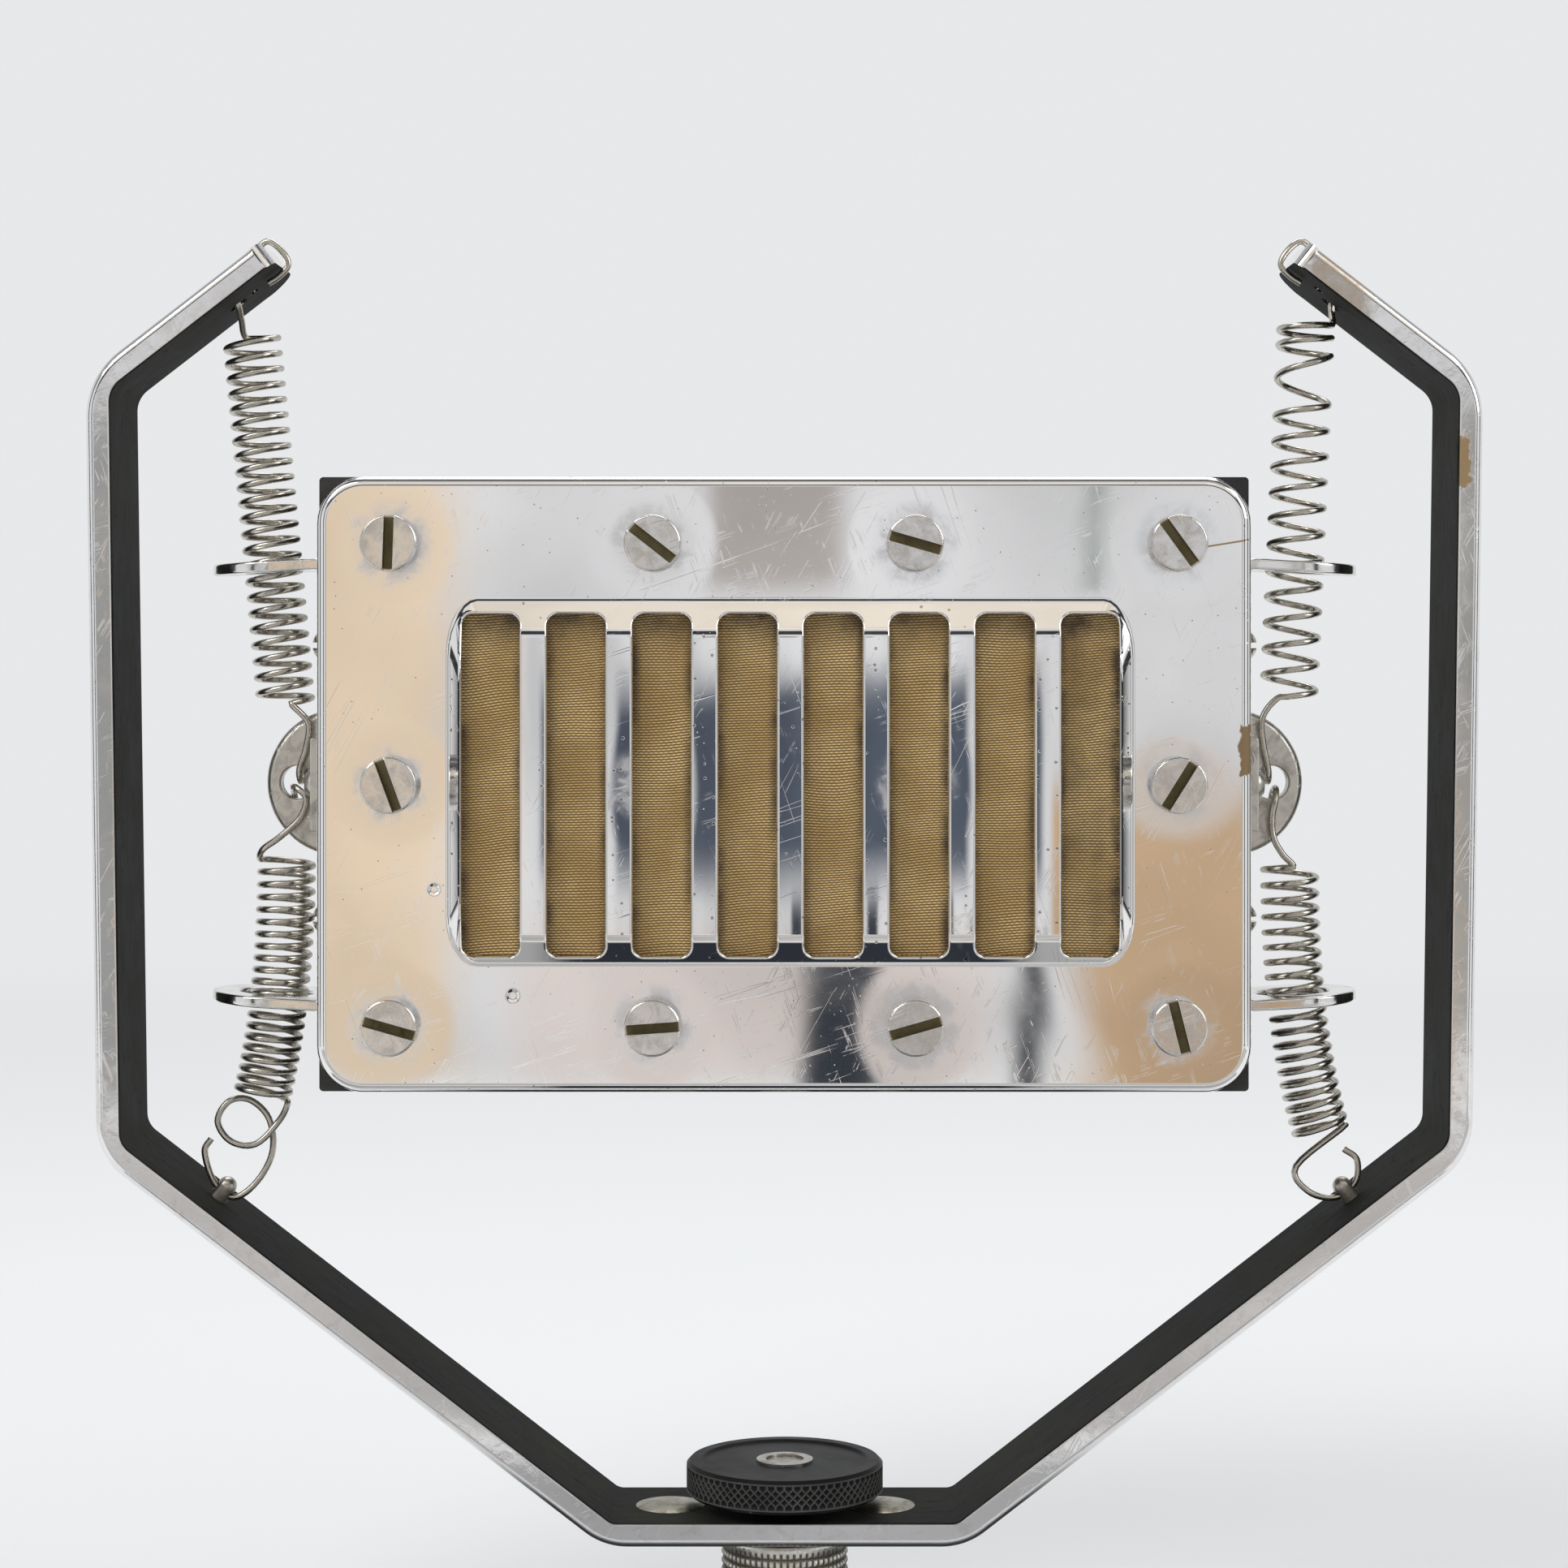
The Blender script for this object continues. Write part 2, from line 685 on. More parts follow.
# name, colour, grime, roughness, size of the grime, how much of it and how much grain
plainMetals = {
    "bracket": ("bracket chrome", (0.8, 0.79, 0.77), (0.45, 0.42, 0.36), 0.1, 260.0, 0.4, 0.15),
    "smallScrew": ("small screw nickel", (0.66, 0.63, 0.56), (0.35, 0.31, 0.24), 0.24, 600.0, 0.6, 0.3),
    "spring": ("spring wire", (0.56, 0.53, 0.47), (0.26, 0.23, 0.18), 0.2, 500.0, 0.35, 0.1),
    "lug": ("lug metal", (0.62, 0.6, 0.55), (0.3, 0.27, 0.22), 0.3, 480.0, 0.75, 0.9),
    "stud": ("eye stud steel", (0.5, 0.47, 0.41), (0.2, 0.17, 0.13), 0.3, 600.0, 0.6, 0.4),
    "rivet": ("foot rivet nickel", (0.33, 0.31, 0.25), (0.14, 0.12, 0.08), 0.3, 520.0, 0.8, 0.7),
    "bush": ("bush nickel", (0.45, 0.43, 0.39), (0.18, 0.16, 0.12), 0.28, 500.0, 0.6, 0.4),
    "brass": ("post brass", (0.72, 0.54, 0.26), (0.4, 0.27, 0.11), 0.24, 350.0, 0.5, 0.25),
}
# name, colour, roughness and how much dust
hardRubbers = {
    "block": ("block ebonite", (0.017, 0.017, 0.018), 0.3, 0.5),
    "carbon": ("carbon", (0.02, 0.02, 0.02), 0.6, 0.2),
    "membrane": ("membrane sheet", (0.5, 0.42, 0.26), 0.5, 0.1),
}
looks = {
    "plate": plateLook(),
    "strip": stripLook(),
    "screw": screwLook(),
    "adapter": sleeveLook(),
    "cloth": clothLook(),
    "knob": knobLook(),
}
for name, values in plainMetals.items():
    looks[name] = metalLook(*values)[0]
for name, values in hardRubbers.items():
    looks[name] = eboniteLook(*values)[0]
print("looks ready")

# front plate with its raised grille

plate = {
    "width": 0.1154,
    "height": 0.0761,
    "thick": 0.0018,
    "cornerRadius": 0.0058,
    "rimRadius": 0.0013,
    "bossFoot": (0.0842, 0.0227, -0.0217),  # width, top and bottom
    "bossFlat": (0.0811, 0.0188, -0.0189),
    "bossRise": 0.0015,
    "bossSunk": 0.0008,
    "bossCorner": 0.0032,
    "bossEdge": 0.0007,
    "slots": 8,
    "slotSize": (0.0071, 0.0422),
    "slotDrop": 0.00005,
    "slotCorner": 0.0014,
    "lip": 0.0004,
}


def makeRaisedMiddle():
    # a box whose front is drawn in
    footWidth, footTop, footLow = plate["bossFoot"]
    flatWidth, flatTop, flatLow = plate["bossFlat"]
    front = plateFront - plate["bossRise"]
    back = plateFront + plate["bossSunk"]
    footMiddle, flatMiddle = (footTop + footLow) / 2, (flatTop + flatLow) / 2
    centre = (slotShift, (front + back) / 2, headMiddle + footMiddle)
    boss = block("raised_middle", (footWidth, back - front, footTop - footLow), centre)
    startEdit(boss)
    pick(boss, "FACE", lambda f: f.normal.y < -0.9)
    narrower, lower = flatWidth / footWidth, (flatTop - flatLow) / (footTop - footLow)
    scalePicked(narrower, 1, lower, centre)
    bpy.ops.transform.translate(value=(0, 0, flatMiddle - footMiddle))
    # the sunk part goes on widening, so that its foot keeps its size at the plate's face
    pick(boss, "FACE", lambda f: f.normal.y > 0.9)
    sunk = plate["bossSunk"] / plate["bossRise"]
    scalePicked(1 + (1 / narrower - 1) * sunk, 1, 1 + (1 / lower - 1) * sunk, centre)
    pick(boss, "EDGE", runsBack)
    bevelPicked(plate["bossCorner"], 7)
    pick(boss, "EDGE", liesAt(front, 1e-4))
    bevelPicked(plate["bossEdge"], 3)
    endEdit()
    return boss


def makeSlotCutter():
    width, height = plate["slotSize"]
    deep = 0.012  # more than the plate and its raised middle are thick
    first = slotShift - slotPitch * (plate["slots"] - 1) / 2
    place = (first, plateFront, headMiddle - plate["slotDrop"])
    cutter = block("slot_cutter", (width, deep, height), place)
    startEdit(cutter)
    pick(cutter, "EDGE", runsBack)
    bevelPicked(plate["slotCorner"], 6)
    endEdit()
    modify(
        cutter,
        "ARRAY",
        count=plate["slots"],
        use_relative_offset=False,
        use_constant_offset=True,
        constant_offset_displace=(slotPitch, 0, 0),
    )
    return cutter


def makePlate():
    middle = plateFront + plate["thick"] / 2
    piece = block("front_plate", (plate["width"], plate["thick"], plate["height"]), (0, middle, headMiddle))
    startEdit(piece)
    pick(piece, "EDGE", runsBack)
    bevelPicked(plate["cornerRadius"], 12)
    pick(piece, "EDGE", liesAt(plateFront))
    bevelPicked(plate["rimRadius"], 7)
    endEdit()
    cutAway(piece, makeRaisedMiddle(), "UNION")
    cutAway(piece, makeSlotCutter())
    bevelSharp(piece, plate["lip"], 3, 18)
    smooth(piece, 40)
    dress(piece, looks["plate"], "head", ["grille_plate"])


makePlate()
print("front plate made")

# screws of the front plate

plateScrew = {
    "headRadius": 0.0035,
    "headHeight": 0.0027,
    "headRim": 0.00035,
    "slotSize": (0.009, 0.00118),
    "slotDepth": 0.0013,
    "slotEdge": 0.00009,
    "shankRadius": 0.0023,
    "shankLength": 0.0138,
    "shankEnd": 0.0005,
    "columns": (-0.0485, -0.01615, 0.01615, 0.0485),
    "row": 0.02975,
    "turns": (88, -38, -16, -54, -70, 58, -16, 4, 16, -76),
}


def screwPlaces():
    # the upper row, the two at half height and the lower row
    columns, row = plateScrew["columns"], plateScrew["row"]
    ends = [(x, 0) for x in (columns[0], columns[-1])]
    return [(x, row) for x in columns] + ends + [(x, -row) for x in columns]


def makePlateScrews():
    height, length = plateScrew["headHeight"], plateScrew["shankLength"]
    slotLength, slotWidth = plateScrew["slotSize"]
    top = plateFront - height
    head = turned("plate_screws", plateScrew["headRadius"], height, (0, plateFront - height / 2, 0), "Y", 56)
    startEdit(head)
    pick(head, "EDGE", liesAt(top))
    bevelPicked(plateScrew["headRim"], 4)
    endEdit()
    cutAway(head, block("driver_slot", (slotLength, plateScrew["slotDepth"] * 2, slotWidth), (0, top, 0)))
    bevelSharp(head, plateScrew["slotEdge"], 2, 40)
    shank = turned("shank", plateScrew["shankRadius"], length, (0, plateFront + length / 2, 0), "Y", 24)
    startEdit(shank)
    pick(shank, "EDGE", liesAt(plateFront + length))
    bevelPicked(plateScrew["shankEnd"], 2)
    endEdit()
    joinInto(head, [shank])
    screws = [head] + [addObject("screw_copy", head.data.copy()) for _ in plateScrew["turns"][1:]]
    for screw, (x, z), turn in zip(screws, screwPlaces(), plateScrew["turns"]):
        screw.rotation_euler = (0, -math.radians(turn), 0)
        screw.location = (x, 0, headMiddle + z)
        settle(screw)
    joinInto(head, screws[1:])
    smooth(head, 35)
    dress(head, looks["screw"], "head", ["grille_screws"])


makePlateScrews()
print("plate screws made")

# cloth behind the slots

clothSheet = {
    "width": 0.0908,
    "height": 0.0508,
    "middle": -0.0200,
    "shift": 0.0004,
    "thick": 0.00028,
    "cells": (90, 50),
    "give": 0.00004,
    "giveWithin": 0.019,
}


def makeCloth():
    width, height = clothSheet["width"], clothSheet["height"]
    bpy.ops.object.select_all(action="DESELECT")
    bpy.ops.mesh.primitive_grid_add(
        x_subdivisions=clothSheet["cells"][0],
        y_subdivisions=clothSheet["cells"][1],
        size=1,
        location=(clothSheet["shift"], clothSheet["middle"], headMiddle),
        rotation=(math.pi / 2, 0, 0),
    )
    piece = started("gold_cloth")
    piece.scale = (width, height, 1)
    settle(piece)

    def inSlot(v):
        across = ((v.co.x + 4 * slotPitch - slotShift) / slotPitch) % 1
        return abs(v.co.z - headMiddle) < clothSheet["giveWithin"] and 0.25 < across < 0.75

    # it gives a little between the bars
    startEdit(piece)
    pick(piece, "VERT", inSlot)
    bpy.ops.transform.translate(value=(0, -clothSheet["give"], 0))
    endEdit()
    modify(piece, "SMOOTH", factor=0.6, iterations=6)
    modify(piece, "SOLIDIFY", thickness=clothSheet["thick"], offset=0)
    smooth(piece, 60)
    dress(piece, looks["cloth"], "head", ["grille_cloth"])


makeCloth()
print("cloth made")

# springs, each one wire with its hooks, in millimetres from the head's middle

springWire = {"radius": 0.43, "coilRadius": 3.4, "perTurn": 22, "sides": 3}
strip = {
    "thick": 3.2,
    "tip": (66.7, 68.3),
    "upper": (88.8, 51.2),
    "lower": (87.4, -47.7),
    "foot": (23.0, -97.4),
    "hookHole": 7.5,  # from the tip
    "eyeAcross": 73.4,
    "eyeRise": 1.3,
}
millimetre = 0.001


def flatWay(start, end):
    return Vector((end[0] - start[0], end[1] - start[1])).normalized()


upWay = flatWay(strip["tip"], strip["upper"])
upIn = Vector((upWay.y, -upWay.x))
lowWay = flatWay(strip["lower"], strip["foot"])
lowIn = Vector((lowWay.y, -lowWay.x))
tipOut = Vector(strip["tip"])
tipIn = tipOut + strip["thick"] * upIn
lowRoot = Vector(strip["lower"]) + strip["thick"] * lowIn
hookHole = tipIn + strip["hookHole"] * upWay
eyeRoot = lowRoot + (lowRoot.x - strip["eyeAcross"]) / -lowWay.x * lowWay
eyeMiddle = eyeRoot + strip["eyeRise"] * lowIn


def tipHook(side):
    spots = [
        (tipIn + 2.6 * upWay + 0.65 * upIn, -3.2),
        (tipIn + 0.9 * upWay + 0.75 * upIn, -3.1),
        (tipIn - 0.9 * upWay + 0.3 * upIn, -3.0),
        (tipIn - 1.3 * upWay - 1.6 * upIn, -2.9),
        (tipOut - 0.7 * upWay - 0.5 * upIn, -2.6),
        (tipOut + 1.2 * upWay - 0.75 * upIn, -2.2),
        (tipOut + 4.2 * upWay - 0.65 * upIn, -1.1),
        (tipOut + 6.6 * upWay - 0.6 * upIn, -0.3),
        (hookHole - (strip["thick"] - 0.5) * upIn, 0.0),
        (hookHole - 0.4 * upIn, 0.0),
    ]
    return [(side * p.x, y, p.y) for p, y in spots]


def eyePass(side):
    spots = [eyeMiddle + reach * lowWay for reach in (1.6, -1.6)]
    return [(side * p.x, 0.0, p.y) for p in spots]


springs = {
    "spring_top_left": {
        "axis": ((-69.05, 0, 57.2), (-66.8, 0, 34), (-64.6, 0, 9.6)),
        "turns": 23.5,
        "startAngle": 110,
        "pace": ((0, 0), (23.5, 1)),
        "before": tipHook(-1) + [(-70.6, 1.5, 59.4)],
        "after": [(-61.3, -3, 7.2), (-61.6, -2.6, 4), (-62.5, -2.3, 1.2), (-62.6, -0.9, -0.35),
                  (-62.5, 0.9, -0.35), (-62.3, 2.3, 1.2), (-62.1, 2.4, 3.4)],
        "blendFrom": 56.0,
        "blendTo": 6.0,
    },
    "spring_top_right": {
        "axis": ((67.5, 0, 58.6), (66.4, 0, 35), (65.3, 0, 10.4)),
        "turns": 14.25,
        "startAngle": -20,
        "pace": ((0, 0), (1, 0.035), (2, 0.085), (3, 0.22), (14.25, 1)),
        "before": tipHook(1) + [(70.8, -0.3, 60.2)],
        "after": [(61.5, -2.9, 7.8), (61.7, -2.5, 4.2), (62.3, -2.3, 1.2), (62.5, -0.9, -0.35),
                  (62.4, 0.9, -0.35), (62.3, 2.3, 1.2), (62.2, 2.4, 3.4)],
        "blendFrom": 56.0,
        "blendTo": 6.0,
    },
    "spring_bottom_left": {
        "axis": ((-64.5, 0, -10.6), (-64.6, 0, -28), (-67.7, 0, -41.4)),
        "turns": 20.5,
        "startAngle": 180,
        "pace": ((0, 0), (20.5, 1)),
        "before": [(-63.6, 2.5, -4.4), (-63.8, 2, -2.2), (-63.7, 0.6, -1.3), (-63.5, -0.7, -1.2),
                   (-62.9, -2.1, -1.3), (-61.6, -2.7, -2.6), (-62.4, -2.9, -5.2), (-65, -2.9, -7.6),
                   (-67.3, -1.9, -9.2)],
        "after": [(-65.6, 0.4, -44.6), (-68.4, -0.6, -47.4), (-71.6, -0.9, -47), (-73.3, -0.9, -44.4),
                  (-71.9, -0.4, -41.9), (-69.4, 0.9, -41.9), (-67, 1.4, -44.4), (-66.5, 1, -48.6),
                  (-68.4, 0.4, -52.4)] + eyePass(-1) + [(-75.2, 0.5, -48.6), (-74.4, 0.8, -46.9)],
        "blendFrom": -42.0,
        "blendTo": -8.0,
    },
    "spring_bottom_right": {
        "axis": ((65.4, 0, -11.4), (65.4, 0, -32), (69.5, 0, -46)),
        "turns": 19.75,
        "startAngle": -90,
        "pace": ((0, 0), (19.75, 1)),
        "before": [(63.2, 2.5, -4.4), (63.4, 2.1, -2.4), (63.5, 0.8, -1.5), (63.5, -0.8, -1.5),
                   (63.3, -2.2, -2.6), (62.8, -2.6, -5), (62.9, -3, -7.6), (64, -3.3, -9.7)],
        "after": [(66.3, 0.4, -50.4), (67.8, 0, -53.6)] + eyePass(1)
                 + [(74.2, 0.6, -49.6), (72.6, 1.2, -48.3)],
        "blendFrom": -42.0,
        "blendTo": -8.0,
    },
}


def paceAt(pace, turn):
    for (t0, s0), (t1, s1) in zip(pace[:-1], pace[1:]):
        if turn <= t1:
            return s0 + (s1 - s0) * (turn - t0) / (t1 - t0)
    return pace[-1][1]


def coilPoints(spring):
    # round a curved axis from its first point to its last, bent towards the middle one
    a, b, c = [Vector(p) for p in spring["axis"]]
    steps = int(round(spring["turns"] * springWire["perTurn"]))
    points = []
    for k in range(steps + 1):
        turn = k / springWire["perTurn"]
        t = paceAt(spring["pace"], turn)
        way = ((1 - t) * (b - a) + t * (c - b)).normalized()
        angle = math.radians(spring["startAngle"] - 360 * turn)
        middle = (1 - t) ** 2 * a + 2 * t * (1 - t) * b + t * t * c
        sideways = Vector((-way.z, 0, way.x)) * math.cos(angle) + Vector((0, 1, 0)) * math.sin(angle)
        points.append(middle + springWire["coilRadius"] * sideways)
    return points


def between(a, b, c, d, t):
    return 0.5 * (2 * b + t * (c - a) + t * t * (2 * a - 5 * b + 4 * c - d) + t**3 * (3 * b - a - 3 * c + d))


def curvePoints(points, cuts=6):
    spots = []
    for k in range(1, len(points) - 2):
        spots += [between(*points[k - 1 : k + 3], part / cuts) for part in range(cuts)]
    return spots


def springRoute(spring):
    body = coilPoints(spring)
    eighth = int(round(springWire["perTurn"] / 8))
    before = [Vector(p) for p in spring["before"]]
    after = [Vector(p) for p in spring["after"]]
    start = curvePoints([2 * before[0] - before[1]] + before + [body[0], body[eighth]])
    end = curvePoints([body[-1 - eighth], body[-1]] + after + [2 * after[-1] - after[-2]])
    return start + body[:-1] + end + [after[-1]]


def makeSpring(node, spring):
    route = [p * millimetre + Vector((0, 0, headMiddle)) for p in springRoute(spring)]
    line = bpy.data.curves.new(node + "_wire", "CURVE")
    line.dimensions = "3D"
    spline = line.splines.new("POLY")
    spline.points.add(len(route) - 1)
    for point, place in zip(spline.points, route):
        point.co = (*place, 1)
    line.bevel_depth = springWire["radius"] * millimetre
    line.bevel_resolution = springWire["sides"]
    line.use_fill_caps = True
    onlySelect(addObject(node + "_wire", line))
    bpy.ops.object.convert(target="MESH")
    piece = started(node + "_wire")
    # the caps are welded to the wire's ends
    startEdit(piece)
    mergeDoubles()
    endEdit()
    smooth(piece, 50, False)
    dress(piece, looks["spring"], None, [node])
    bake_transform(piece)


for node, spring in springs.items():
    makeSpring(node, spring)
print("springs wound")

# bent strip and its fixings

stripEdges = {"outside": 0.0011, "inside": 0.00035}


def makeStrip():
    piece = mergedCopy("suspension_frame", "bent_strip")

    def longCorner(side):
        # edges between the front or back and the outer face (1) or the inner one (-1)
        def test(edge):
            fronts = [f for f in edge.link_faces if abs(f.normal.y) > 0.99]
            others = [f for f in edge.link_faces if abs(f.normal.y) < 0.3]
            if len(fronts) != 1 or len(others) != 1:
                return False
            middle = (edge.verts[0].co + edge.verts[1].co) / 2
            out = Vector((middle.x, 0, middle.z - headMiddle)).normalized()
            return others[0].normal.dot(out) * side > 0.3

        return test

    startEdit(piece)
    pick(piece, "EDGE", longCorner(1))
    bevelPicked(stripEdges["outside"], 6)
    pick(piece, "EDGE", longCorner(-1))
    bevelPicked(stripEdges["inside"], 3)
    endEdit()
    smooth(piece)
    dress(piece, looks["strip"], "frame", ["suspension_frame"])


makeStrip()
rivets = roundedCopy("frame_rivets", "foot_rivets", 0.0001, 2, 45)
dress(rivets, looks["rivet"], "frame", ["frame_rivets"])
print("strip rounded")

# head: block, brackets, lugs and posts

# node, name, width and steps of the rounded edges, look and slot
roundedNodes = [
    ("side_bracket_left", "left_bracket", 0.00032, 3, "bracket", "bright_chrome"),
    ("side_bracket_right", "right_bracket", 0.00032, 3, "bracket", "bright_chrome"),
    ("bracket_screws", "bracket_screw_set", 0.00008, 2, "smallScrew", "screw_nickel"),
    ("spring_lug_left", "left_lug", 0.0003, 3, "lug", "dull_nickel"),
    ("spring_lug_right", "right_lug", 0.0003, 3, "lug", "dull_nickel"),
    ("lug_rivets", "lug_rivet_set", 0.0001, 2, "lug", "dull_nickel"),
    ("terminal_stud_left", "left_post", 0.0003, 2, "brass", "brass"),
    ("terminal_stud_right", "right_post", 0.0003, 2, "brass", "brass"),
    ("terminal_washers", "post_washers", 0.00015, 2, "brass", "brass"),
    ("terminal_lock_nuts", "post_lock_nuts", 0.0003, 3, "brass", "brass"),
]
hardBlock = {
    "edge": 0.0005,
    "membraneSeat": (0.0909, 0.0509, 0.0002),  # width, height and depth
    "bed": (0.0820, 0.0440, 0.0027),
    "electrode": (0.0060, 0.0440, 0.0052),
    "electrodeAcross": 0.0380,
    "postRadius": 0.00202,
    "screwRadius": 0.00232,
    "screwDeep": 0.0112,
    "bracketScrew": {"radius": 0.00152, "deep": 0.011, "middle": -0.0006, "reach": 0.0177},
}


def makeBlock():
    low, high = [Vector(corner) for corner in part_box("microphone_block")]
    piece = block("ebonite_block", tuple(high - low), tuple((low + high) / 2))
    startEdit(piece)
    bpy.ops.mesh.select_all(action="SELECT")
    bevelPicked(hardBlock["edge"], 3)
    endEdit()
    past = 0.001  # how far each cutter stands out of the face that it enters

    def sink(width, height, deep, x=0.0):
        place = (x, low.y + (deep - past) / 2, headMiddle)
        cutAway(piece, block("recess", (width, deep + past, height), place))

    def drill(radius, place, deep, axis="Y"):
        cutAway(piece, turned("drill", radius, deep, place, axis, 32))

    sink(*hardBlock["membraneSeat"])
    sink(*hardBlock["bed"])
    for side in (-1, 1):
        x = side * hardBlock["electrodeAcross"]
        sink(*hardBlock["electrode"], x)
        drill(hardBlock["postRadius"], (x, (low.y + high.y) / 2, headMiddle), 2 * through)
    deep = hardBlock["screwDeep"]
    for x, z in sorted(screwPlaces(), key=lambda place: (place[1] == 0, place)):
        drill(hardBlock["screwRadius"], (x, low.y + (deep - past) / 2, headMiddle + z), deep + past)
    fixing = hardBlock["bracketScrew"]
    for side in (-1, 1):
        x = side * (high.x - (fixing["deep"] - past) / 2)
        for z in (-fixing["reach"], fixing["reach"]):
            drill(fixing["radius"], (x, 0, headMiddle + fixing["middle"] + z), fixing["deep"] + past, "X")
    smooth(piece)
    dress(piece, looks["block"], "head", ["microphone_block"])


makeBlock()
for node, name, width, segments, look, slot in roundedNodes:
    dress(roundedCopy(node, name, width, segments), looks[look], "head", [node])
print("head pieces rounded")

# knurled pieces

knob = {
    "radius": 0.0127,
    "bottom": 0.02295,
    "height": 0.0043,
    "chamfer": 0.0005,
    "facets": 144,
    "rows": 6,
    "depth": 0.00030,
    "stepIn": 0.0014,
    "stepWall": 0.0004,
    "stepDeep": 0.0003,
    "bossIn": 0.0067,
    "bossDeep": 0.0007,
    "bushRadius": 0.00365,
}
sleeve = {
    "radius": 0.0082,
    "height": 0.018,
    "rim": 0.0008,
    "beads": 60,
    "rows": 14,
    "depth": 0.00036,
    "boreRadius": 0.00397,
    "boreDeep": 0.012,
}
thumbNut = {
    "radius": 0.0055,
    "start": 0.0264,
    "thick": 0.0044,
    "rim": 0.0005,
    "grooves": 40,
    "depth": 0.00016,
    "across": 0.038,
    "collar": (0.0038, 0.0022, 0.0005),  # radius, length and how far its middle is before the nut
    "postRadius": 0.00205,
}


def angleStep(x, y, count):
    return int(round(math.atan2(y, x) / (2 * math.pi) * count)) % count


def atRim(v, radius):
    return near(v.co.xy.length, radius, 1e-4)


def knurl(piece, shape, hollow, middle):
    # pushes the hollows in and splits the band's faces along its crests
    pick(piece, "VERT", hollow)
    inward = 1 - shape["depth"] / shape["radius"]
    scalePicked(inward, inward, 1, (0, 0, middle))
    past = shape["radius"] - shape["depth"] - 0.0002
    pick(piece, "FACE", lambda f: len(f.verts) == 4 and all(v.co.xy.length > past for v in f.verts))
    bpy.ops.mesh.quads_convert_to_tris(quad_method="LONGEST_DIAGONAL")


def makeKnob():
    radius, low, height, rows = knob["radius"], knob["bottom"], knob["height"], knob["rows"]
    middle = low + height / 2
    piece = turned("thumb_wheel", radius, height, (0, 0, middle), "Z", knob["facets"])
    startEdit(piece)
    pick(piece, "EDGE", lambda e: near(e.verts[0].co.z, e.verts[1].co.z) and atRim(e.verts[0], radius))
    bevelPicked(knob["chamfer"], 1)
    # a shallow step round the bush on the top and a boss below
    pick(piece, "FACE", lambda f: f.normal.z > 0.99 and f.calc_area() > 1e-5)
    bpy.ops.mesh.inset(thickness=knob["stepIn"])
    bpy.ops.mesh.inset(thickness=knob["stepWall"], depth=-knob["stepDeep"])
    pick(piece, "FACE", lambda f: f.normal.z < -0.99 and f.calc_area() > 1e-5)
    bpy.ops.mesh.inset(thickness=knob["bossIn"])
    bpy.ops.mesh.extrude_region_move(TRANSFORM_OT_translate={"value": (0, 0, -knob["bossDeep"])})
    # the band is cut in rows, and every other crossing pushed in
    pick(piece, "EDGE", lambda e: abs(e.verts[0].co.z - e.verts[1].co.z) > height * 0.5)
    bpy.ops.mesh.subdivide(number_cuts=rows - 1)
    pitch = (height - 2 * knob["chamfer"]) / rows

    def hollow(v):
        row = int(round((v.co.z - low - knob["chamfer"]) / pitch))
        even = (angleStep(v.co.x, v.co.y, knob["facets"]) + row) % 2 == 0
        return atRim(v, radius) and 0 < row < rows and even

    knurl(piece, knob, hollow, middle)
    endEdit()
    cutAway(piece, turned("bush_hole", knob["bushRadius"], through, (0, 0, middle), "Z", 48))
    smooth(piece, 14, False)
    dress(piece, looks["knob"], "knob", ["thumb_knob"])


def makeSleeve():
    radius, height = sleeve["radius"], sleeve["height"]
    rows, columns = sleeve["rows"] * 2, sleeve["beads"] * 2
    piece = turned("knurled_sleeve", radius, height, (0, 0, height / 2), "Z", columns)
    startEdit(piece)
    pick(piece, "EDGE", lambda e: near(e.verts[0].co.z, e.verts[1].co.z))
    bevelPicked(sleeve["rim"], 3)
    pick(piece, "EDGE", lambda e: abs(e.verts[0].co.z - e.verts[1].co.z) > height * 0.5)
    bpy.ops.mesh.subdivide(number_cuts=rows - 1)
    pitch = (height - 2 * sleeve["rim"]) / rows

    def groove(v):
        row = int(round((v.co.z - sleeve["rim"]) / pitch))
        crest = row % 2 == 1 and angleStep(v.co.x, v.co.y, columns) % 2 == 0
        return atRim(v, radius) and 0 < row < rows and not crest

    knurl(piece, sleeve, groove, height / 2)
    endEdit()
    cutAway(piece, turned("stand_bore", sleeve["boreRadius"], sleeve["boreDeep"] * 2, (0, 0, 0), "Z", 48))
    smooth(piece, 60)
    dress(piece, looks["adapter"], "stand", ["stand_adapter"])


def makeThumbNut(side, name, node, body):
    radius, count = thumbNut["radius"], thumbNut["grooves"] * 2
    collarRadius, collarLength, collarBefore = thumbNut["collar"]
    x = side * thumbNut["across"]
    middle = (x, thumbNut["start"] + thumbNut["thick"] / 2, headMiddle)
    piece = turned(name, radius, thumbNut["thick"], middle, "Y", count)
    startEdit(piece)
    pick(piece, "EDGE", lambda e: near(e.verts[0].co.y, e.verts[1].co.y))
    bevelPicked(thumbNut["rim"], 2)

    def groove(v):
        across, up = v.co.x - x, v.co.z - headMiddle
        return near(math.hypot(across, up), radius, 1e-4) and angleStep(across, up, count) % 2 == 0

    pick(piece, "VERT", groove)
    inward = 1 - thumbNut["depth"] / radius
    scalePicked(inward, 1, inward, middle)
    endEdit()
    # the collar reaches a little into the nut, so that the two become one skin
    place = (x, thumbNut["start"] - collarBefore, headMiddle)
    cutAway(piece, turned("collar", collarRadius, collarLength, place, "Y", 48), "UNION")
    cutAway(piece, turned("post_hole", thumbNut["postRadius"], through, middle, "Y", 40))
    smooth(piece, 30)
    dress(piece, looks["brass"], body, [node])


